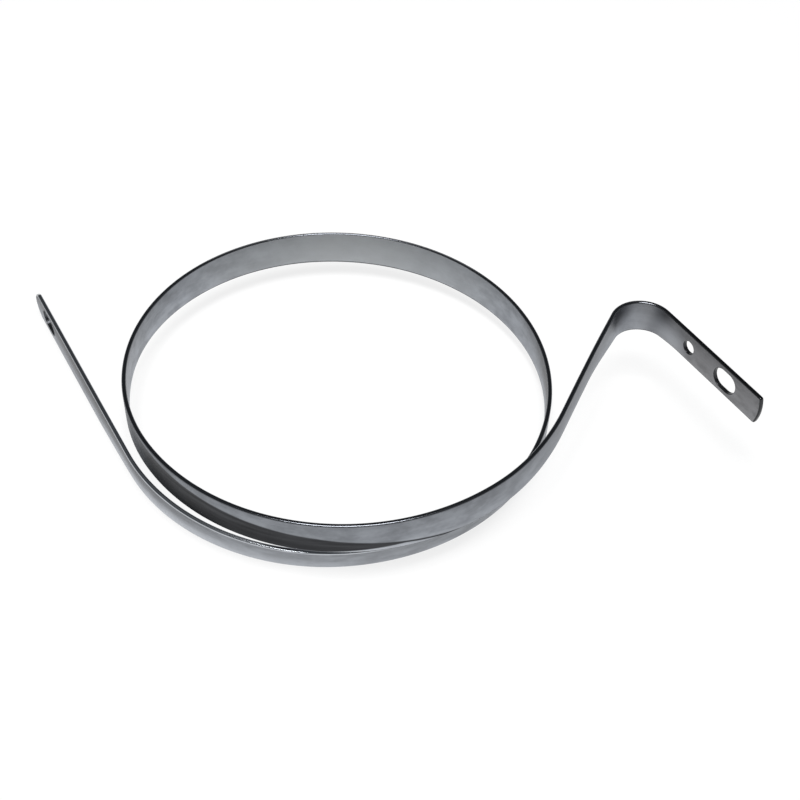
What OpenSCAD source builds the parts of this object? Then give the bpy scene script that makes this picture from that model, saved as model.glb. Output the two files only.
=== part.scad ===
// Chainsaw brake spring: one length of flat spring-steel strip, wound to wrap a clutch drum.
// The strip runs from a rounded, slotted left end, along a straight arm, round the coil in a rising turn,
// over its own first turn, along a second straight arm and round a tight bend to a flat drilled tab.
// The coil axis is Z, the main turn is centred on the origin and the lowest edge lies on Z = 0.

/* [Strip] */
// Width of the steel strip, measured along the coil axis
strip_width = 6; // [4.8:0.1:7.6]
// Thickness of the steel strip
strip_thickness = 0.8; // [0.5:0.05:1]
// Chamfer that breaks the long edges of the strip
edge_chamfer = 0.12; // [0.05:0.01:0.2]

/* [Coil] */
// Mid-strip radius of the main turn
main_radius = 38; // [30:0.5:50]
// How much larger the radius of the first, outer turn is
outer_extra = 2; // [1.6:0.1:2.4]
// Angle of the first, outer turn
outer_angle = 91; // [85:1:97]
// How much smaller the radius is where the strip turns in before it passes over its first turn
inner_inset = 2.7; // [2.2:0.1:3.2]
// Angle of that stretch
inner_angle = 26; // [22:1:30]
// How much larger the radius is where the strip leaves the coil over its first turn
exit_extra = 2.7; // [2.4:0.1:3]
// Angle of the stretch that leaves the coil
exit_angle = 121; // [115:1:127]
// Free height between two turns, on top of the strip width
turn_clearance = 1; // [0.8:0.1:2]
// Extra lift of the strip where it leaves the coil
crossing_lift = 2.8; // [0.5:0.1:3.5]
// Where the strip starts to climb, in degrees from the start of the main turn
lift_start_angle = -25; // [-30:1:-20]

/* [Lean] */
// Outward lean of the first turn at the front, below the strip that crosses it
front_lean_angle = 16; // [10:1:20]
// Outward lean of the main turn at the back
back_lean_angle = 22; // [0:1:25]
// Inward lean of the strip at the front, where it passes over its first turn
inner_lean_angle = 7; // [0:1:10]
// Backward lean of the bend before the tab
bend_lean_angle = 10; // [0:1:14]

/* [Arms] */
// Direction of the left arm, from its end towards the coil
left_heading = -59; // [-65:1:-52]
// Length of the straight left arm
left_arm = 47.6; // [30:0.2:70]
// Direction of the right arm, away from the coil
right_heading = 66; // [60:1:72]
// Length of the straight right arm
right_arm = 24.1; // [15:0.1:45]

/* [Tab] */
// Mid-strip radius of the bend between the right arm and the tab
bend_radius = 5.5; // [3:0.1:10]
// Angle of that bend
bend_angle = 124; // [90:1:140]
// Length of the flat tab, from the bend to its tip
tab_length = 25.8; // [23:0.1:40]
// How far the middle of the tab's end stands proud of its corners
tab_crown = 0.5; // [0.3:0.1:2]
// Diameter of the small round hole in the tab
hole_diameter = 2.6; // [1.5:0.1:3.5]
// Distance from the bend to the centre of that hole
hole_distance = 7.2; // [6:0.1:9]
// Overall length of the slot in the tab
tab_slot_length = 5.4; // [4.5:0.1:8]
// Width of the slot in the tab
tab_slot_width = 4; // [2:0.1:4.2]
// Distance from the bend to the middle of that slot
tab_slot_distance = 16.9; // [15:0.1:18]

/* [Left end] */
// How far the middle of the left end stands proud of its corners
left_crown = 2.2; // [0.5:0.1:2.4]
// Overall length of the slot in the left arm
left_slot_length = 6; // [4.5:0.1:10]
// Width of the slot in the left arm
left_slot_width = 3.6; // [2:0.1:4.2]
// Distance from the left tip to the middle of that slot
left_slot_distance = 7.3; // [6.3:0.1:14]

/* [Hidden] */

// Angle that the main turn has left over, so that both arms keep their directions
main_angle = 360 + right_heading - left_heading - outer_angle - inner_angle - exit_angle;
// The strip gains one strip width and the clearance in each full turn
lift_rate = (strip_width + turn_clearance) / (2 * PI * main_radius);
// Length over which the strip eases into that rise, each side of the place where it starts to climb
lift_ease = main_radius * 25 * PI / 180;
// Length over which the strip is lifted where it leaves the coil, each side of the start of the right arm
crossing_ease = 18;
// Place of the strongest lean at the front, after the left arm, and the length over which it builds up
lean_place = (main_radius + outer_extra) * 70 * PI / 180;
lean_reach = (main_radius + outer_extra) * 96 * PI / 180;
// Length of the tab that is still twisted by the lean of the bend; it ends before the small hole
twist_length = hole_distance - hole_diameter;
// Steps along the strip: degrees of a wide arc, degrees of the tight bend, length on an arm
arc_step_angle = 4;
bend_step_angle = 8;
arm_step = 3;
// Overlap of the cutting tools past the strip's faces
cut_over = 1;
round_facets = 48;

function arc_row(radius, angle, step) =
    [radius * abs(angle) * PI / 180, angle, ceil(abs(angle) / step)];
function arm_row(length) = [length, 0, ceil(length / arm_step)];

// The strip as a bend table: length, change of direction and number of steps of each stretch
rows = [
    arm_row(left_arm),
    arc_row(main_radius + outer_extra, outer_angle, arc_step_angle),
    arc_row(main_radius, main_angle, arc_step_angle),
    arc_row(main_radius - inner_inset, inner_angle, arc_step_angle),
    arc_row(main_radius + exit_extra, exit_angle, arc_step_angle),
    arm_row(right_arm),
    arc_row(bend_radius, -bend_angle, bend_step_angle),
    arm_row(tab_length)
];
OUTER = 1;
MAIN = 2;
EXIT = 4;
RIGHT_ARM = 5;
BEND = 6;
TAB = 7;

// A place on the strip is [x, y, direction, length from the left tip]
function move_on(place, length, turn) =
    let (
        heading = place[2],
        radius = turn == 0 ? 0 : length / (turn * PI / 180),
        step = turn == 0
            ? length * [cos(heading), sin(heading)]
            : radius * [sin(heading + turn) - sin(heading), cos(heading) - cos(heading + turn)]
    )
    [place[0] + step[0], place[1] + step[1], heading + turn, place[3] + length];

// Start of row i, laid on from the first place
function row_start(first, i) =
    i == 0 ? first : move_on(row_start(first, i - 1), rows[i - 1][0], rows[i - 1][1]);
function row_starts(first) = [for (i = [0:len(rows)]) row_start(first, i)];

// Laid from a first guess, then shifted so that the main turn is centred on the origin
guess = row_starts([0, 0, left_heading, 0])[MAIN];
centre = [guess[0] - main_radius * sin(guess[2]), guess[1] + main_radius * cos(guess[2])];
starts = row_starts([-centre[0], -centre[1], left_heading, 0]);

places = concat(
    [for (i = [0:len(rows) - 1]) for (k = [0:rows[i][2] - 1])
        move_on(starts[i], rows[i][0] * k / rows[i][2], rows[i][1] * k / rows[i][2])],
    [starts[len(rows)]]
);

// Azimuth at which the main turn starts, and the length from the left tip to an angle into that turn
main_from = left_heading + outer_angle - 90;
function main_at(angle) = starts[MAIN][3] + main_radius * angle * PI / 180;
// Length from the left tip to the front of the coil on the way out
front_at = starts[EXIT][3] + (main_radius + exit_extra) * (360 - starts[EXIT][2]) * PI / 180;

function ease(t) = let (u = max(0, min(1, t))) u * u * (3 - 2 * u);

// Height of the lower edge: flat, then a steady rise, with a short extra lift where the strip leaves the coil
function lift(s) =
    let (u = s - main_at(lift_start_angle))
    lift_rate * (u <= -lift_ease ? 0 : u >= lift_ease ? u : pow(u + lift_ease, 2) / (4 * lift_ease))
    + crossing_lift * ease((s - starts[RIGHT_ARM][3] + crossing_ease) / (2 * crossing_ease));

// Outward lean of the strip: none at the coil's sides, and inward on the way out and at the bend
lean_knots = [
    [starts[OUTER][3] + lean_place - lean_reach, 0],
    [starts[OUTER][3] + lean_place, front_lean_angle],
    [main_at(-main_from), 0],
    [main_at(90 - main_from), back_lean_angle],
    [main_at(180 - main_from), 0],
    [front_at, -inner_lean_angle],
    [starts[RIGHT_ARM][3], 0],
    [starts[RIGHT_ARM][3] + right_arm / 2, 0],
    [starts[BEND][3] + rows[BEND][0] / 2, -bend_lean_angle],
    [starts[TAB][3] + twist_length, 0]
];
function lean(s, k = 0) =
    k > len(lean_knots) - 2 ? 0
    : s < lean_knots[k][0] ? 0
    : s >= lean_knots[k + 1][0] ? lean(s, k + 1)
    : let (a = lean_knots[k], b = lean_knots[k + 1])
        a[1] + (b[1] - a[1]) * ease((s - a[0]) / (b[0] - a[0]));

// Section of the strip: [across the thickness, down from the top edge]
half = strip_thickness / 2;
section = [
    [half, -edge_chamfer],
    [half - edge_chamfer, 0],
    [edge_chamfer - half, 0],
    [-half, -edge_chamfer],
    [-half, edge_chamfer - strip_width],
    [edge_chamfer - half, -strip_width],
    [half - edge_chamfer, -strip_width],
    [half, edge_chamfer - strip_width]
];

// The section turned to the strip's direction and leaned about its top edge
function section_at(place) =
    let (
        tilt = lean(place[3]),
        inward = [-sin(place[2]), cos(place[2]), 0],
        up = [0, 0, 1],
        across = cos(tilt) * inward + sin(tilt) * up,
        along_width = cos(tilt) * up - sin(tilt) * inward,
        top = [place[0], place[1], lift(place[3]) + strip_width * cos(tilt) + half * abs(sin(tilt))]
    )
    [for (p = section) top + p[0] * across + p[1] * along_width];

module strip() {
    n = len(section);
    m = len(places);
    sides = [for (i = [0:m - 2]) for (k = [0:n - 1])
        let (a = i * n + k, b = i * n + (k + 1) % n)
        each [[a, b, b + n], [a, b + n, a + n]]];
    caps = [[for (k = [n - 1:-1:0]) k], [for (k = [0:n - 1]) (m - 1) * n + k]];
    polyhedron([for (p = places) each section_at(p)], concat(sides, caps));
}

// Puts a tool at the middle of the strip's width: X along the strip, Y through it, Z across its width
module on_strip(row, distance) {
    place = move_on(starts[row], distance, 0);
    slope = atan(lift(place[3] + 0.5) - lift(place[3] - 0.5));
    translate([place[0], place[1], lift(place[3]) + strip_width / 2])
        rotate([0, -slope, place[2]])
            children();
}

module drill(diameter) {
    rotate([90, 0, 0])
        cylinder(d = diameter, h = strip_thickness + 2 * cut_over, center = true, $fn = round_facets);
}

module slot_cut(length, width) {
    reach = (length - width) / 2;
    for (side = [-1, 1])
        translate([side * reach, 0, 0])
            drill(width);
    cube([2 * reach, strip_thickness + 2 * cut_over, width], center = true);
}

// Trims a square end to an arc: the tip is at X = 0 and the strip runs towards +X
module end_cut(crown) {
    radius = (pow(strip_width / 2, 2) + pow(crown, 2)) / (2 * crown);
    depth = strip_thickness + 2 * cut_over;
    height = strip_width + 2 * cut_over;
    difference() {
        translate([-cut_over, -depth / 2, -height / 2])
            cube([cut_over + crown, depth, height]);
        translate([radius, 0, 0])
            rotate([90, 0, 0])
                cylinder(r = radius, h = depth + 2 * cut_over, center = true, $fn = 2 * round_facets);
    }
}

module brake_band() {
    color([0.47, 0.49, 0.52])
        difference() {
            strip();
            on_strip(0, 0)
                end_cut(left_crown);
            on_strip(0, left_slot_distance)
                slot_cut(left_slot_length, left_slot_width);
            on_strip(TAB, hole_distance)
                drill(hole_diameter);
            on_strip(TAB, tab_slot_distance)
                slot_cut(tab_slot_length, tab_slot_width);
            on_strip(TAB, tab_length)
                mirror([1, 0, 0])
                    end_cut(tab_crown);
        }
}

brake_band();
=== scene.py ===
"""Look of the brake band: the swept strip with rounded edges, its steel, a plain studio and the camera."""
import math

import bpy
from mathutils import Matrix, Vector
from mathutils.geometry import delaunay_2d_cdt


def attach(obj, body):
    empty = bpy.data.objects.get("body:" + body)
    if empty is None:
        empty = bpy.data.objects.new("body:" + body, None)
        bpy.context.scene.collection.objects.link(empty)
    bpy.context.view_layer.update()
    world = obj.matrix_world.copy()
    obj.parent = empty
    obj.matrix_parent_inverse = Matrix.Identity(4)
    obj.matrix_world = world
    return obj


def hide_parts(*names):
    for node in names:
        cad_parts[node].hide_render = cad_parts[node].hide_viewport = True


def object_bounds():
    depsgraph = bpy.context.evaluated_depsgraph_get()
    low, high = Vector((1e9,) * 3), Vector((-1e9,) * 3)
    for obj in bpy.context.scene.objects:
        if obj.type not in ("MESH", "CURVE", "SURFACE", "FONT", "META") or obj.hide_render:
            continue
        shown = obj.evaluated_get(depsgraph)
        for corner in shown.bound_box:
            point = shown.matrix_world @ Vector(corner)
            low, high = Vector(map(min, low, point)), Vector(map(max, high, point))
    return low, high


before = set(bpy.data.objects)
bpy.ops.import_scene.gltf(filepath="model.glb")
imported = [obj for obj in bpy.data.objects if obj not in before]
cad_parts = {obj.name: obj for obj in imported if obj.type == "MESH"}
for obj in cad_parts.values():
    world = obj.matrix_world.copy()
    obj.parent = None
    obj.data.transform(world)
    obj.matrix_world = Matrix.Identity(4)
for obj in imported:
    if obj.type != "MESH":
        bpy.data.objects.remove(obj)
cad_low, cad_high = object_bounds()

# Sizes of the strip in millimetres and degrees, the same as in the CAD model
STRIP_WIDTH = 6.0
STRIP_THICKNESS = 0.8
MAIN_RADIUS = 38.0
OUTER_EXTRA = 2.0
OUTER_ANGLE = 91.0
INNER_INSET = 2.7
INNER_ANGLE = 26.0
EXIT_EXTRA = 2.7
EXIT_ANGLE = 121.0
TURN_CLEARANCE = 1.0
CROSSING_LIFT = 2.8
CROSSING_EASE = 18.0
LIFT_START_ANGLE = -25.0
LIFT_EASE_ANGLE = 25.0
FRONT_LEAN_ANGLE = 16.0
FRONT_LEAN_PLACE_ANGLE = 70.0
FRONT_LEAN_REACH_ANGLE = 96.0
BACK_LEAN_ANGLE = 22.0
INNER_LEAN_ANGLE = 7.0
BEND_LEAN_ANGLE = 10.0
LEFT_HEADING = -59.0
LEFT_ARM = 47.6
RIGHT_HEADING = 66.0
RIGHT_ARM = 24.1
BEND_RADIUS = 5.5
BEND_ANGLE = 124.0
TAB_LENGTH = 25.8
TAB_CROWN = 0.5
HOLE_DIAMETER = 2.6
HOLE_DISTANCE = 7.2
TAB_SLOT_LENGTH = 5.4
TAB_SLOT_WIDTH = 4.0
TAB_SLOT_DISTANCE = 16.9
LEFT_CROWN = 2.2
LEFT_SLOT_LENGTH = 6.0
LEFT_SLOT_WIDTH = 3.6
LEFT_SLOT_DISTANCE = 7.3

# Sizes that only the look needs: rounding of the rolled edges, of the punched edges and of the ends' corners,
# and the length of the left arm that is made as a flat end
EDGE_ROUND = 0.26
PUNCH_ROUND = 0.12
CORNER_ROUND = 0.5
LEFT_FLAT = 13.0

# How finely the strip is divided: lengths in millimetres, and numbers of steps
STRIP_STEP = 0.9
BEND_STEP = 0.28
SLOPE_STEP = 0.05
COLUMN_STEPS = 6
ROUND_STEPS = 5
CROWN_STEPS = 12
ARM_EDGE_STEPS = 8

MM = 0.001
HALF = STRIP_THICKNESS / 2
# Millimetres to one unit of the texture map, and how far up it each face lies
UV_NAME = "strip"
UV_MM = 10.0
INNER_FACE_V = 0.0
OUTER_FACE_V = 40.0

MAIN_ANGLE = 360 + RIGHT_HEADING - LEFT_HEADING - OUTER_ANGLE - INNER_ANGLE - EXIT_ANGLE
MAIN_FROM = LEFT_HEADING + OUTER_ANGLE - 90
LIFT_RATE = (STRIP_WIDTH + TURN_CLEARANCE) / (2 * math.pi * MAIN_RADIUS)
LIFT_EASE = MAIN_RADIUS * math.radians(LIFT_EASE_ANGLE)
LEAN_PLACE = (MAIN_RADIUS + OUTER_EXTRA) * math.radians(FRONT_LEAN_PLACE_ANGLE)
LEAN_REACH = (MAIN_RADIUS + OUTER_EXTRA) * math.radians(FRONT_LEAN_REACH_ANGLE)
TWIST_LENGTH = HOLE_DISTANCE - HOLE_DIAMETER


def arc_row(radius, angle):
    return (radius * math.radians(abs(angle)), angle)


# The strip as a bend table: length and change of direction of each stretch
ROWS = [
    (LEFT_ARM, 0),
    arc_row(MAIN_RADIUS + OUTER_EXTRA, OUTER_ANGLE),
    arc_row(MAIN_RADIUS, MAIN_ANGLE),
    arc_row(MAIN_RADIUS - INNER_INSET, INNER_ANGLE),
    arc_row(MAIN_RADIUS + EXIT_EXTRA, EXIT_ANGLE),
    (RIGHT_ARM, 0),
    arc_row(BEND_RADIUS, -BEND_ANGLE),
    (TAB_LENGTH, 0),
]
OUTER, MAIN, EXIT, RIGHT, BEND, TAB = 1, 2, 4, 5, 6, 7


def move_on(place, length, turn):
    """The place, as x, y, direction and length so far, after a further straight or curved stretch."""
    x, y, heading, s = place
    a = math.radians(heading)
    if turn == 0:
        return (x + length * math.cos(a), y + length * math.sin(a), heading, s + length)
    b = math.radians(heading + turn)
    radius = length / math.radians(turn)
    x += radius * (math.sin(b) - math.sin(a))
    y += radius * (math.cos(a) - math.cos(b))
    return (x, y, heading + turn, s + length)


def row_starts(first):
    out = [first]
    for length, turn in ROWS:
        out.append(move_on(out[-1], length, turn))
    return out


# The rows are laid out once from anywhere, and again so that the main arc's centre is the origin
guess = row_starts((0.0, 0.0, LEFT_HEADING, 0.0))[MAIN]
turned = math.radians(guess[2])
STARTS = row_starts((
    MAIN_RADIUS * math.sin(turned) - guess[0],
    -MAIN_RADIUS * math.cos(turned) - guess[1],
    LEFT_HEADING,
    0.0,
))
LENGTH = STARTS[-1][3]
MAIN_AT = STARTS[MAIN][3]
RIGHT_AT = STARTS[RIGHT][3]
TAB_FROM = STARTS[TAB][3]
FRONT_AT = STARTS[EXIT][3] + (MAIN_RADIUS + EXIT_EXTRA) * math.radians(360 - STARTS[EXIT][2])


def ease(t):
    u = max(0.0, min(1.0, t))
    return u * u * (3 - 2 * u)


def main_at(angle):
    return MAIN_AT + MAIN_RADIUS * math.radians(angle)


def lift(s):
    """Height of the strip's lower edge: an even climb round the coil, and a rise into the right arm."""
    u = s - main_at(LIFT_START_ANGLE)
    climb = 0 if u <= -LIFT_EASE else u if u >= LIFT_EASE else (u + LIFT_EASE) ** 2 / (4 * LIFT_EASE)
    leave = ease((s - RIGHT_AT + CROSSING_EASE) / (2 * CROSSING_EASE))
    return LIFT_RATE * climb + CROSSING_LIFT * leave


LEAN_KNOTS = [
    (STARTS[OUTER][3] + LEAN_PLACE - LEAN_REACH, 0.0),
    (STARTS[OUTER][3] + LEAN_PLACE, FRONT_LEAN_ANGLE),
    (main_at(-MAIN_FROM), 0.0),
    (main_at(90 - MAIN_FROM), BACK_LEAN_ANGLE),
    (main_at(180 - MAIN_FROM), 0.0),
    (FRONT_AT, -INNER_LEAN_ANGLE),
    (RIGHT_AT, 0.0),
    (RIGHT_AT + RIGHT_ARM / 2, 0.0),
    (STARTS[BEND][3] + ROWS[BEND][0] / 2, -BEND_LEAN_ANGLE),
    (TAB_FROM + TWIST_LENGTH, 0.0),
]


def lean(s):
    for (s0, a0), (s1, a1) in zip(LEAN_KNOTS, LEAN_KNOTS[1:]):
        if s0 <= s < s1:
            return a0 + (a1 - a0) * ease((s - s0) / (s1 - s0))
    return 0.0


def frame_at(s):
    """Middle of the top edge, the strip's direction, its inward normal and its width direction."""
    i = max(k for k in range(len(ROWS)) if STARTS[k][3] <= s or k == 0)
    length, turn = ROWS[i]
    part = s - STARTS[i][3]
    x, y, heading, _ = move_on(STARTS[i], part, turn * part / length)
    a = math.radians(heading)
    tilt = math.radians(lean(s))
    inward = Vector((-math.sin(a), math.cos(a), 0))
    up = Vector((0, 0, 1))
    slope = (lift(s + SLOPE_STEP) - lift(s - SLOPE_STEP)) / (2 * SLOPE_STEP)
    along = Vector((math.cos(a), math.sin(a), slope)).normalized()
    across = math.cos(tilt) * inward + math.sin(tilt) * up
    width = math.cos(tilt) * up - math.sin(tilt) * inward
    top = Vector((x, y, lift(s) + STRIP_WIDTH * math.cos(tilt) + HALF * abs(math.sin(tilt))))
    return top, along, across, width


class Shell:
    """Gathers the strip's vertices with their normals and texture places, and its faces."""

    def __init__(self):
        self.points = []
        self.normals = []
        self.uvs = []
        self.faces = []
        self.slots = []
        self.known = {}
        self.frames = {}

    def point(self, s, v, w, ns, nv, nw):
        """A vertex at length s, height v above the lower edge and w inward, with its normal that way."""
        key = (round(s, 4), round(v, 4), round(w, 4))
        if key in self.known:
            return self.known[key]
        if key[0] not in self.frames:
            self.frames[key[0]] = frame_at(s)
        top, along, across, width = self.frames[key[0]]
        self.known[key] = len(self.points)
        self.points.append((top + across * w + width * (v - STRIP_WIDTH)) * MM)
        self.normals.append((along * ns + width * nv + across * nw).normalized())
        self.uvs.append((s / UV_MM, (v + OUTER_FACE_V * (0.5 - w / STRIP_THICKNESS)) / UV_MM))
        return self.known[key]

    def face(self, corners, slot):
        if len(set(corners)) == len(corners):
            self.faces.append(corners)
            self.slots.append(slot)


# Material slots of the mesh: the two wide faces, the rolled edges and the walls of the punched holes
FACE, EDGE, CUT = 0, 1, 2


def profile(radius):
    """Turn from the inner face over an edge to the outer face: inset, w and the two parts of the normal."""
    out = []
    for k in range(ROUND_STEPS + 1):
        t = math.pi / 2 * k / ROUND_STEPS
        out.append((radius * (1 - math.sin(t)), HALF - radius * (1 - math.cos(t)), math.sin(t), math.cos(t)))
    return out + [(inset, -w, a, -b) for inset, w, a, b in reversed(out)]


def stations(first, last):
    """Lengths along the strip, closer together in the tight bend."""
    out = [first]
    for i in range(len(ROWS)):
        a = max(first, STARTS[i][3])
        b = min(last, STARTS[i + 1][3])
        if b - a < 0.01:
            continue
        n = math.ceil((b - a) / (BEND_STEP if i == BEND else STRIP_STEP))
        out += [a + (b - a) * k / n for k in range(1, n + 1)]
    return out


FACE_HEIGHT = STRIP_WIDTH - 2 * EDGE_ROUND
COLUMNS = [EDGE_ROUND + FACE_HEIGHT * k / COLUMN_STEPS for k in range(COLUMN_STEPS + 1)]


def section():
    """Points round the plain section: height, inward place, normal and what kind of surface follows each."""
    out = [(v, HALF, 0.0, 1.0, FACE) for v in COLUMNS[:-1]]
    for inset, w, a, b in profile(EDGE_ROUND):
        out.append((STRIP_WIDTH - inset, w, a, b, EDGE))
    out[-1] = out[-1][:4] + (FACE,)
    out += [(v, -HALF, 0.0, -1.0, FACE) for v in COLUMNS[-2:0:-1]]
    for inset, w, a, b in reversed(profile(EDGE_ROUND)):
        out.append((inset, w, -a, b, EDGE))
    return out[:-1]


def plain_run(shell, first, last):
    ring = section()
    before = None
    for s in stations(first, last):
        now = [shell.point(s, v, w, 0, nv, nw) for v, w, nv, nw, _ in ring]
        if before:
            for k in range(len(ring)):
                m = (k + 1) % len(ring)
                shell.face([before[k], now[k], now[m], before[m]], ring[k][4])
        before = now


def fillet(corner, before, after, radius):
    """Points of an arc of that radius that rounds a corner between two neighbouring points."""
    a = (Vector(before) - Vector(corner)).normalized()
    b = (Vector(after) - Vector(corner)).normalized()
    half = a.angle(b) / 2
    centre = Vector(corner) + (a + b).normalized() * radius / math.sin(half)
    first = Vector(corner) + a * radius / math.tan(half) - centre
    last = Vector(corner) + b * radius / math.tan(half) - centre
    turn = first.angle_signed(last)
    out = []
    for k in range(ROUND_STEPS + 1):
        t = -turn * k / ROUND_STEPS
        out.append((centre.x + first.x * math.cos(t) - first.y * math.sin(t),
                    centre.y + first.x * math.sin(t) + first.y * math.cos(t)))
    return out


def end_outline(join, tip, crown):
    """Open outline of an end, from the lower edge at join round the crowned tip to the upper edge."""
    way = 1 if tip > join else -1
    h = STRIP_WIDTH / 2
    radius = (h * h + crown * crown) / (2 * crown)
    reach = math.asin(h / radius)
    arc = []
    for k in range(-CROWN_STEPS, CROWN_STEPS + 1):
        t = reach * k / CROWN_STEPS
        arc.append((tip - way * (radius - radius * math.cos(t)), h + radius * math.sin(t)))
    low = fillet(arc[0], (join, 0), arc[1], CORNER_ROUND)
    high = fillet(arc[-1], arc[-2], (join, STRIP_WIDTH), CORNER_ROUND)
    keep = [p for p in arc[1:-1] if CORNER_ROUND < p[1] < STRIP_WIDTH - CORNER_ROUND]
    edge = [join + (low[0][0] - join) * k / ARM_EDGE_STEPS for k in range(ARM_EDGE_STEPS)]
    return [(s, 0.0) for s in edge] + low + keep + high + [(s, STRIP_WIDTH) for s in reversed(edge)]


def outward(points, closed, middle):
    """Unit normals of an outline, lengthened at corners so that an inset keeps its distance."""
    n = len(points)
    out = []
    for i in range(n):
        before = Vector(points[i - 1]) if closed or i > 0 else None
        after = Vector(points[(i + 1) % n]) if closed or i < n - 1 else None
        here = Vector(points[i])
        sides = []
        if before:
            sides.append((here - before).normalized())
        if after:
            sides.append((after - here).normalized())
        norms = [Vector((side.y, -side.x)) for side in sides]
        mean = sum(norms, Vector((0, 0))).normalized()
        # a corner lengthens its normal to twice a unit at most
        out.append(mean / max(0.5, mean.dot(norms[0])))
    centre = Vector(middle)
    sign = sum(1 if (Vector(p) - centre).dot(m) > 0 else -1 for p, m in zip(points, out))
    return out if sign > 0 else [-m for m in out]


def round_wall(shell, points, norms, closed, radius, slot):
    """Rounded wall that joins the two faces along an outline. Returns its edge on the inner face in 2D."""
    columns = []
    for p, m in zip(points, norms):
        unit = m.normalized()
        columns.append([
            shell.point(p[0] - m.x * inset, p[1] - m.y * inset, w, unit.x * a, unit.y * a, b)
            for inset, w, a, b in profile(radius)
        ])
    count = len(points)
    for i in range(count if closed else count - 1):
        a, b = columns[i], columns[(i + 1) % count]
        for k in range(len(a) - 1):
            shell.face([a[k], a[k + 1], b[k + 1], b[k]], slot)
    return [(p[0] - m.x * radius, p[1] - m.y * radius) for p, m in zip(points, norms)]


def round_hole(s, diameter, steps=56):
    r = diameter / 2
    angles = [2 * math.pi * k / steps for k in range(steps)]
    return [(s + r * math.cos(t), STRIP_WIDTH / 2 + r * math.sin(t)) for t in angles]


def long_hole(s, length, width, steps=28):
    r = width / 2
    out = []
    for side, start in ((1, -math.pi / 2), (-1, math.pi / 2)):
        for k in range(steps + 1):
            t = start + math.pi * k / steps
            out.append((s + side * (length / 2 - r) + r * math.cos(t), STRIP_WIDTH / 2 + r * math.sin(t)))
    return out


def inside(point, loop):
    """Whether a point lies within a closed outline."""
    odd = False
    for a, b in zip(loop, loop[1:] + loop[:1]):
        if (a[1] > point.y) != (b[1] > point.y):
            odd ^= point.x < a[0] + (b[0] - a[0]) * (point.y - a[1]) / (b[1] - a[1])
    return odd


def flat_end(shell, join, tip, crown, holes):
    """A flat end of the strip, from the joining section at length join to the tip, with its punched holes."""
    outline = end_outline(join, tip, crown)
    norms = outward(outline, False, ((join + tip) / 2, STRIP_WIDTH / 2))
    norms[0] = Vector((0, -1))
    norms[-1] = Vector((0, 1))
    loops = [round_wall(shell, outline, norms, False, EDGE_ROUND, EDGE)]
    loops[0] += [(join, v) for v in reversed(COLUMNS[1:-1])]
    for hole in holes:
        centre = (sum(p[0] for p in hole) / len(hole), STRIP_WIDTH / 2)
        inward = [-m for m in outward(hole, True, centre)]
        loops.append(round_wall(shell, hole, inward, True, PUNCH_ROUND, CUT))
    verts, edges = [], []
    for loop in loops:
        base = len(verts)
        verts += [Vector(p) for p in loop]
        edges += [(base + k, base + (k + 1) % len(loop)) for k in range(len(loop))]
    made, _, triangles, *_ = delaunay_2d_cdt(verts, edges, [], 1, 1e-5)
    solid = []
    for triangle in triangles:
        middle = sum((made[k] for k in triangle), Vector((0, 0))) / 3
        if not any(inside(middle, hole) for hole in loops[1:]):
            solid.append(triangle)
    for w, nw in ((HALF, 1.0), (-HALF, -1.0)):
        index = [shell.point(p.x, p.y, w, 0, 0, nw) for p in made]
        for triangle in solid:
            shell.face([index[k] for k in triangle], FACE)


def build_band():
    """The whole strip as one mesh object, with its texture map and its smooth normals."""
    shell = Shell()
    left_hole = long_hole(LEFT_SLOT_DISTANCE, LEFT_SLOT_LENGTH, LEFT_SLOT_WIDTH)
    flat_end(shell, LEFT_FLAT, 0.0, LEFT_CROWN, [left_hole])
    plain_run(shell, LEFT_FLAT, TAB_FROM + TWIST_LENGTH)
    small_hole = round_hole(TAB_FROM + HOLE_DISTANCE, HOLE_DIAMETER)
    tab_hole = long_hole(TAB_FROM + TAB_SLOT_DISTANCE, TAB_SLOT_LENGTH, TAB_SLOT_WIDTH)
    flat_end(shell, TAB_FROM + TWIST_LENGTH, LENGTH, TAB_CROWN, [small_hole, tab_hole])

    mesh = bpy.data.meshes.new("brake_band_strip")
    mesh.from_pydata([tuple(p) for p in shell.points], [], shell.faces)
    for poly, slot in zip(mesh.polygons, shell.slots):
        poly.material_index = slot
        poly.use_smooth = True
    # each face is turned so that it faces the way its vertices' normals point
    flip = []
    for poly in mesh.polygons:
        mean = sum((shell.normals[i] for i in poly.vertices), Vector())
        if poly.normal.dot(mean) < 0:
            flip.append(poly.index)
    for i in flip:
        mesh.polygons[i].flip()
    mesh.update()
    layer = mesh.uv_layers.new(name=UV_NAME)
    for loop in mesh.loops:
        layer.data[loop.index].uv = shell.uvs[loop.vertex_index]
    mesh.normals_split_custom_set_from_vertices(shell.normals)
    band = bpy.data.objects.new("brake_band_strip", mesh)
    bpy.context.scene.collection.objects.link(band)
    return band


# Colours of the steel: faces, edges and punched walls, then the first turn's edges, lighter as painted
# highlight, the tab, darker as painted shade, and its edges
FACE_TONE = (0.283, 0.299, 0.326)
EDGE_TONE = (0.11, 0.116, 0.128)
CUT_TONE = (0.12, 0.125, 0.135)
FIRST_EDGE_HIGHLIGHT = (0.46, 0.48, 0.51)
TAB_TONE = (0.265, 0.266, 0.276)
TAB_EDGE_TONE = (0.06, 0.061, 0.065)
# Noises in the steel: scale along and across the strip, detail and roughness
FINE = (2.5, 45.0, 4.0, 0.55)
LONG_STREAK = (0.5, 9.0, 3.0, 0.55)
BLOTCH = (0.8, 1.8, 4.0, 0.6)
MOTTLE = (2.4, 4.0, 3.0, 0.6)
# Lengths between which the first turn's tone comes in on the left arm, and between which it fades out again;
# on the edges that tone is a painted highlight
FIRST_IN = (30.0, 60.0)
FIRST_OUT = (95.0, 120.0)
# Lengths between which the tab's tone, darker as painted shade, comes in
TAB_IN = (TAB_FROM - 12, TAB_FROM + 8)
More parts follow.
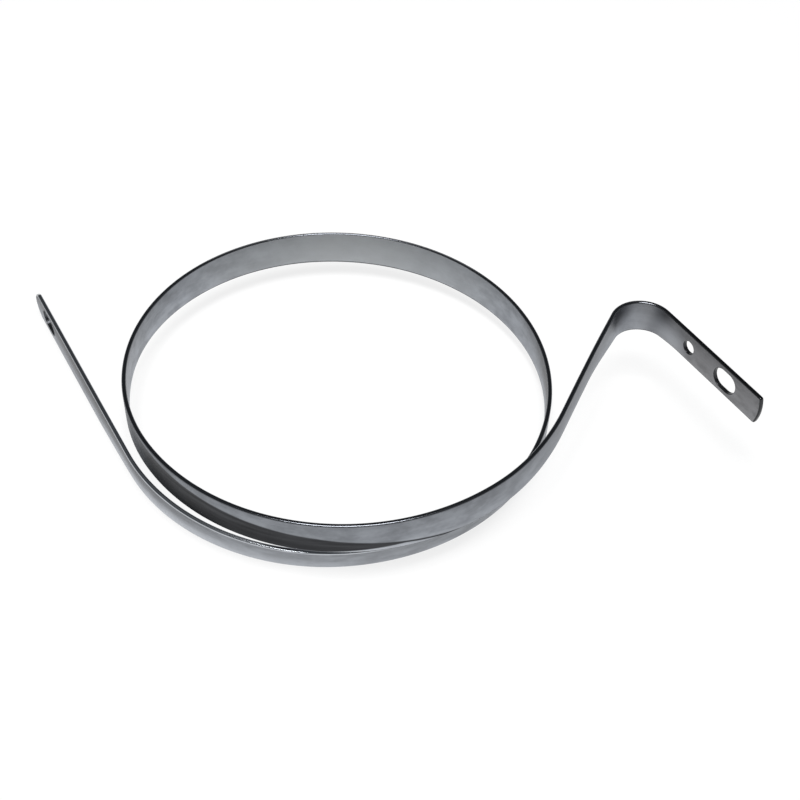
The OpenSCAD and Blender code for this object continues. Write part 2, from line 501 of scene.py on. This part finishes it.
# Painted shade: how much lighter the faces are at the lower edge than their tone, and how much darker at the
# upper edge
LOWER_SHADE = 1.2
UPPER_SHADE = 0.8
# Soft marks of wear and bending, with painted shade and painted highlight among them: face, length, height,
# reach along and across, strength and colour
# Colours of the marks: wear and painted highlight, painted highlight at the back, painted shade on the arms,
# bluing and painted shade
WEAR_AND_SHEEN = (0.50, 0.522, 0.56)
BACK_SHEEN = (0.45, 0.467, 0.476)
ARM_SHADE = (0.145, 0.157, 0.178)
BLUING_AND_SHADE = (0.03, 0.031, 0.035)
MARKS = [
    # painted highlight: the back of the inner face lighter
    (INNER_FACE_V, MAIN_AT + 98, 3.0, 38, 30, 0.75, BACK_SHEEN),
    # painted shade: the inner face darker at its upper rim
    (INNER_FACE_V, MAIN_AT + 34, 6.0, 24, 5.0, 1.0, BLUING_AND_SHADE),
    # painted shade: both arms darker, the left one most towards its upper rim
    (OUTER_FACE_V, RIGHT_AT + 6, 4.0, 26, 12, 0.75, ARM_SHADE),
    (OUTER_FACE_V, 28.0, 6.0, 52, 6.0, 1.0, ARM_SHADE),
    # painted shade: the left arm darker at its upper rim
    (OUTER_FACE_V, 26.0, 6.2, 50, 4.4, 0.9, BLUING_AND_SHADE),
    # painted highlight: lighter lower rims on the first turn and below the painted shade of the second turn
    (OUTER_FACE_V, 62.0, 0.4, 42, 3.4, 0.7, WEAR_AND_SHEEN),
    (OUTER_FACE_V, 330.0, 0.3, 24, 1.6, 0.8, WEAR_AND_SHEEN),
    # dark and light marks of bending at the bend and on the tab
    (OUTER_FACE_V, TAB_FROM - 10.8, 4.8, 4.5, 3.2, 0.75, BLUING_AND_SHADE),
    (OUTER_FACE_V, TAB_FROM + 0.3, 5.0, 2.8, 2.8, 0.45, BLUING_AND_SHADE),
    (OUTER_FACE_V, TAB_FROM + 2.4, 1.8, 5.5, 3.6, 0.45, WEAR_AND_SHEEN),
]
# Painted shade and painted reflection of the first turn, dark on the outer face: lengths where it starts,
# bends and ends, with the height of its upper rim at the bend; the rim below it that is left bare; the width
# of the line in which it ends; and how softly it starts and ends
CRESCENT_SHADE = (0.012, 0.0122, 0.0135)
CRESCENT_SHADE_PALE = (0.055, 0.056, 0.06)
CRESCENT_FROM = 285.0
CRESCENT_KNEE = 327.0
KNEE_HEIGHT = 3.1
CRESCENT_TO = 354.0
BARE_RIM_FROM = 317.0
BARE_RIM_TO = 344.0
BARE_RIM_START_HEIGHT = -0.5
BARE_RIM_HEIGHT = 1.1
CRESCENT_LINE = 0.55
CRESCENT_STRENGTH = 0.95
CRESCENT_IN = (CRESCENT_FROM - 8, CRESCENT_FROM + 9)
UPPER_RIM_SOFT = (0.0, 0.25)
LOWER_RIM_SOFT = (-0.1, 0.15)
CRESCENT_DEEP = (1.0, 2.5)


def scaled(colour, share):
    return tuple(c * share for c in colour)


class SteelTree:
    """A new material's node tree, with short ways to add the nodes that the steel is mixed from."""

    def __init__(self, name):
        self.material = bpy.data.materials.new(name)
        self.material.use_nodes = True
        self.nodes = self.material.node_tree.nodes
        self.links = self.material.node_tree.links
        self.shader = self.nodes["Principled BSDF"]
        uv = self.nodes.new("ShaderNodeUVMap")
        uv.uv_map = UV_NAME
        self.place = uv.outputs["UV"]
        parts = self.nodes.new("ShaderNodeSeparateXYZ")
        self.links.new(self.place, parts.inputs["Vector"])
        self.length = parts.outputs["X"]
        self.height = parts.outputs["Y"]

    def put(self, socket, value):
        """Sets an input to a number or a colour, or links another node's output to it."""
        if isinstance(value, (int, float)):
            socket.default_value = value
        elif isinstance(value, tuple):
            socket.default_value = value + (1.0,)
        else:
            self.links.new(value, socket)

    def placed(self, scale, shift=(0, 0)):
        node = self.nodes.new("ShaderNodeMapping")
        node.inputs["Scale"].default_value = (scale[0], scale[1], 1)
        node.inputs["Location"].default_value = (shift[0], shift[1], 0)
        self.links.new(self.place, node.inputs["Vector"])
        return node.outputs["Vector"]

    def noise(self, scale_along, scale_across, detail, roughness):
        node = self.nodes.new("ShaderNodeTexNoise")
        node.inputs["Scale"].default_value = 1.0
        node.inputs["Detail"].default_value = detail
        node.inputs["Roughness"].default_value = roughness
        self.links.new(self.placed((scale_along, scale_across)), node.inputs["Vector"])
        return node.outputs["Fac"]

    def spread(self, value, low, high, out_low, out_high):
        """A value moved evenly from one range into another, and held at its ends."""
        node = self.nodes.new("ShaderNodeMapRange")
        node.inputs["From Min"].default_value = low
        node.inputs["From Max"].default_value = high
        node.inputs["To Min"].default_value = out_low
        node.inputs["To Max"].default_value = out_high
        self.links.new(value, node.inputs["Value"])
        return node.outputs["Result"]

    def spread_mm(self, value, span, out_low, out_high):
        """The same, from a range in millimetres on the strip."""
        return self.spread(value, span[0] / UV_MM, span[1] / UV_MM, out_low, out_high)

    def combine(self, kind, a, b):
        node = self.nodes.new("ShaderNodeMath")
        node.operation = kind
        self.put(node.inputs[0], a)
        self.put(node.inputs[1], b)
        return node.outputs["Value"]

    def mix(self, factor, a, b, kind="MIX"):
        node = self.nodes.new("ShaderNodeMix")
        node.data_type = "RGBA"
        node.blend_type = kind
        self.put(node.inputs[0], factor)
        self.put(node.inputs[6], a)
        self.put(node.inputs[7], b)
        return node.outputs[2]

    def spot(self, face_v, s, v, reach_along, reach_across, strength):
        """A soft mark on one face, round a place given by its length and its height on the strip."""
        away = self.nodes.new("ShaderNodeVectorMath")
        away.operation = "LENGTH"
        scale = (UV_MM / reach_along, UV_MM / reach_across)
        shift = (-s / reach_along, -(v + face_v) / reach_across)
        self.links.new(self.placed(scale, shift), away.inputs[0])
        return self.spread(away.outputs["Value"], 1.0, 0.15, 0, strength)


def rolled_tone(tree, colour, streak, first, tab_colour):
    """Rolled strip with soft streaks and blotches, in one tone on the first turn, on the edges a painted
    highlight, and in another, darker as painted shade, on the tab.
    """
    streaks = tree.spread(tree.noise(*LONG_STREAK), 0.3, 0.7, 0, 1)
    tone = tree.mix(streaks, scaled(colour, 1 - streak), scaled(colour, 1 + streak))
    blotches = tree.spread(tree.noise(*BLOTCH), 0.42, 0.66, 0, 0.8)
    tone = tree.mix(blotches, tone, scaled(colour, 0.72))
    # the first turn's tone, on the edges a painted highlight
    come_in = tree.spread_mm(tree.length, FIRST_IN, 0.5, 1)
    fade_out = tree.spread_mm(tree.length, FIRST_OUT, 1, 0)
    tone = tree.mix(tree.combine("MULTIPLY", come_in, fade_out), tone, first)
    mottle = tree.noise(*MOTTLE)
    # the tab's tone, darker as painted shade, with a mottle
    tab_tone = tree.mix(tree.spread(mottle, 0.4, 0.6, 0, 1), tab_colour, scaled(tab_colour, 0.6))
    tone = tree.mix(tree.spread_mm(tree.length, TAB_IN, 0, 1), tone, tab_tone)
    return tree.mix(1.0, tone, tree.spread(mottle, 0.38, 0.62, 0.86, 1.14), "MULTIPLY")


def marks_and_shade_tone(tree, tone):
    """The tone with the marks of wear and bending, painted shade and painted highlight, and darker towards
    the upper edge as painted shade.
    """
    for *place, strength, colour in MARKS:
        tone = tree.mix(tree.spot(*place, strength), tone, colour)
    # painted shade: the faces lighter at the lower edge and darker at the upper edge
    up_face = tree.combine("MODULO", tree.height, OUTER_FACE_V / UV_MM)
    shade = tree.spread_mm(up_face, (0, STRIP_WIDTH), LOWER_SHADE, UPPER_SHADE)
    return tree.mix(1.0, tone, shade, "MULTIPLY")


def crescent_shaded_tone(tree, tone):
    """The tone with the painted shade and painted reflection of the first turn. Its upper rim falls along the
    strip, and its lower rim rises close to that.
    """
    height = tree.combine("SUBTRACT", tree.height, OUTER_FACE_V / UV_MM)
    knee = KNEE_HEIGHT / UV_MM
    to_knee = tree.spread_mm(tree.length, (CRESCENT_FROM, CRESCENT_KNEE), STRIP_WIDTH / UV_MM, knee)
    from_knee = tree.spread_mm(tree.length, (CRESCENT_KNEE, CRESCENT_TO), 0, knee)
    upper_rim = tree.combine("SUBTRACT", to_knee, from_knee)
    bare_rim_span = (BARE_RIM_FROM, BARE_RIM_TO)
    bare_rim = tree.spread_mm(tree.length, bare_rim_span, BARE_RIM_START_HEIGHT / UV_MM, BARE_RIM_HEIGHT / UV_MM)
    lower_rim = tree.combine("MINIMUM", bare_rim, tree.combine("SUBTRACT", upper_rim, CRESCENT_LINE / UV_MM))
    depth = tree.combine("SUBTRACT", upper_rim, height)
    below = tree.spread_mm(depth, UPPER_RIM_SOFT, 0, CRESCENT_STRENGTH)
    above = tree.spread_mm(tree.combine("SUBTRACT", height, lower_rim), LOWER_RIM_SOFT, 0, 1)
    begin = tree.spread_mm(tree.length, CRESCENT_IN, 0, 1)
    mask = tree.combine("MULTIPLY", tree.combine("MULTIPLY", below, above), begin)
    # the painted shade of the first turn, paler along the streaks
    streaks = tree.spread(tree.noise(*LONG_STREAK), 0.35, 0.65, 0, 1)
    crescent = tree.mix(streaks, CRESCENT_SHADE_PALE, CRESCENT_SHADE)
    return tree.mix(mask, tone, tree.mix(tree.spread_mm(depth, CRESCENT_DEEP, 0, 1), crescent, CRESCENT_SHADE))


def steel(name, colour, rough, streak, first, tab_colour, marked=False):
    """Rolled spring steel. A marked one has the marks, the painted shade towards its upper edge and the
    painted shade and reflection of the first turn too.
    """
    tree = SteelTree(name)
    shader = tree.shader
    shader.inputs["Metallic"].default_value = 1.0
    shader.inputs["Anisotropic"].default_value = 0.4
    shader.inputs["Anisotropic Rotation"].default_value = 0.25
    tone = rolled_tone(tree, colour, streak, first, tab_colour)
    if marked:
        # painted shade and painted highlight marks, painted shade towards the upper edge, and the first
        # turn's painted shade and reflection
        tone = crescent_shaded_tone(tree, marks_and_shade_tone(tree, tone))
    tree.put(shader.inputs["Base Color"], tone)
    fine = tree.noise(*FINE)
    tree.put(shader.inputs["Roughness"], tree.spread(fine, 0.3, 0.75, rough - 0.05, rough + 0.09))
    tangent = tree.nodes.new("ShaderNodeTangent")
    tangent.direction_type = "UV_MAP"
    tangent.uv_map = UV_NAME
    tree.put(shader.inputs["Tangent"], tangent.outputs["Tangent"])
    bump = tree.nodes.new("ShaderNodeBump")
    bump.inputs["Strength"].default_value = 0.08
    bump.inputs["Distance"].default_value = 0.02 * MM
    tree.put(bump.inputs["Height"], fine)
    tree.put(shader.inputs["Normal"], bump.outputs["Normal"])
    return tree.material


band = build_band()
for material in (
    steel("spring_steel_face", FACE_TONE, 0.42, 0.05, FACE_TONE, TAB_TONE, marked=True),
    steel("spring_steel_edge", EDGE_TONE, 0.16, 0.06, FIRST_EDGE_HIGHLIGHT, TAB_EDGE_TONE),
    steel("spring_steel_cut", CUT_TONE, 0.34, 0.06, CUT_TONE, TAB_EDGE_TONE),
):
    band.data.materials.append(material)
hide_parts("brake_band")
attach(band, "root")

# Studio, in metres: a round floor with a curved rim, just below the band, and the share of white it shows
FLOOR_RINGS = [0.25, 0.6, 1.0]
RIM_RADIUS = 0.8
RIM_ANGLE = 80.0
RIM_STEPS = 8
FLOOR_STEPS = 64
FLOOR_DROP = 0.00005
FLOOR_GLOW = 0.82


def floor_mesh():
    """A wide floor whose far rim curves up, so that it is its own backdrop."""
    rings = [(r, 0.0) for r in FLOOR_RINGS]
    for k in range(1, RIM_STEPS + 1):
        t = math.radians(RIM_ANGLE) * k / RIM_STEPS
        rings.append((FLOOR_RINGS[-1] + RIM_RADIUS * math.sin(t), RIM_RADIUS * (1 - math.cos(t))))
    verts = [(0.0, 0.0, 0.0)]
    for r, z in rings:
        for k in range(FLOOR_STEPS):
            t = 2 * math.pi * k / FLOOR_STEPS
            verts.append((r * math.cos(t), r * math.sin(t), z))
    faces = [(0, 1 + k, 1 + (k + 1) % FLOOR_STEPS) for k in range(FLOOR_STEPS)]
    for i in range(len(rings) - 1):
        for k in range(FLOOR_STEPS):
            a = 1 + i * FLOOR_STEPS + k
            b = 1 + i * FLOOR_STEPS + (k + 1) % FLOOR_STEPS
            faces.append((a, a + FLOOR_STEPS, b + FLOOR_STEPS, b))
    mesh = bpy.data.meshes.new("studio_floor")
    mesh.from_pydata(verts, [], faces)
    for poly in mesh.polygons:
        poly.use_smooth = True
    return mesh


def paper_material():
    """White paper that takes shadows, and that camera and mirror rays see mostly as an even white."""
    paper = bpy.data.materials.new("studio_paper")
    paper.use_nodes = True
    nodes, links = paper.node_tree.nodes, paper.node_tree.links
    cover = nodes["Principled BSDF"]
    cover.inputs["Base Color"].default_value = (0.9, 0.9, 0.9, 1)
    cover.inputs["Roughness"].default_value = 0.9
    cover.inputs["Specular IOR Level"].default_value = 0.1
    white = nodes.new("ShaderNodeEmission")
    white.inputs["Color"].default_value = (1, 1, 1, 1)
    white.inputs["Strength"].default_value = 1.0
    rays = nodes.new("ShaderNodeLightPath")
    seen = nodes.new("ShaderNodeMath")
    seen.operation = "MAXIMUM"
    links.new(rays.outputs["Is Camera Ray"], seen.inputs[0])
    links.new(rays.outputs["Is Glossy Ray"], seen.inputs[1])
    share = nodes.new("ShaderNodeMath")
    share.operation = "MULTIPLY"
    share.inputs[1].default_value = FLOOR_GLOW
    links.new(seen.outputs[0], share.inputs[0])
    blend = nodes.new("ShaderNodeMixShader")
    links.new(share.outputs[0], blend.inputs[0])
    links.new(cover.outputs["BSDF"], blend.inputs[1])
    links.new(white.outputs["Emission"], blend.inputs[2])
    links.new(blend.outputs["Shader"], nodes["Material Output"].inputs["Surface"])
    return paper


floor = bpy.data.objects.new("studio_floor", floor_mesh())
floor.location = (0, 0, cad_low.z - FLOOR_DROP)
bpy.context.scene.collection.objects.link(floor)
floor.data.materials.append(paper_material())

world = bpy.data.worlds.new("studio")
world.use_nodes = True
sky = world.node_tree.nodes["Background"]
sky.inputs["Color"].default_value = (0.9, 0.95, 1.0, 1)
sky.inputs["Strength"].default_value = 0.12
bpy.context.scene.world = world

# One large soft lamp overhead: its place and side in metres, and its power in watts
LAMP_PLACE = Vector((0.0, -0.15, 0.95))
LAMP_SIZE = 0.4
LAMP_WATTS = 11.0
lamp = bpy.data.lights.new("softbox_top", "AREA")
lamp.shape = "SQUARE"
lamp.size = LAMP_SIZE
lamp.energy = LAMP_WATTS
softbox = bpy.data.objects.new("softbox_top", lamp)
softbox.location = LAMP_PLACE
softbox.rotation_mode = "QUATERNION"
softbox.rotation_quaternion = (-LAMP_PLACE).to_track_quat("-Z", "Y")
bpy.context.scene.collection.objects.link(softbox)

# Camera at the photograph's viewing angle: look-at point, elevation, distance, roll, and focal length in
# pixels of a picture that wide
LOOK_AT = Vector((11.08, -1.234, 3.0)) * MM
ELEVATION = math.radians(46.93)
DISTANCE = 242.75 * MM
ROLL = math.radians(2.12)
FOCAL_PIXELS = 1331.1
PICTURE_PIXELS = 800
SENSOR_WIDTH = 36.0
forward = Vector((0, math.cos(ELEVATION), -math.sin(ELEVATION)))
right = Vector((1, 0, 0))
above = Vector((0, math.sin(ELEVATION), math.cos(ELEVATION)))
side = right * math.cos(ROLL) + above * math.sin(ROLL)
top = above * math.cos(ROLL) - right * math.sin(ROLL)
lens = bpy.data.cameras.new("photo_camera")
lens.sensor_width = SENSOR_WIDTH
lens.lens = FOCAL_PIXELS * SENSOR_WIDTH / PICTURE_PIXELS
lens.clip_start = 0.01
lens.clip_end = 20.0
camera = bpy.data.objects.new("photo_camera", lens)
facing = Matrix((side, top, -forward)).transposed()
camera.matrix_world = Matrix.Translation(LOOK_AT - forward * DISTANCE) @ facing.to_4x4()
bpy.context.scene.collection.objects.link(camera)
bpy.context.scene.camera = camera
bpy.context.scene.view_settings.view_transform = "Standard"
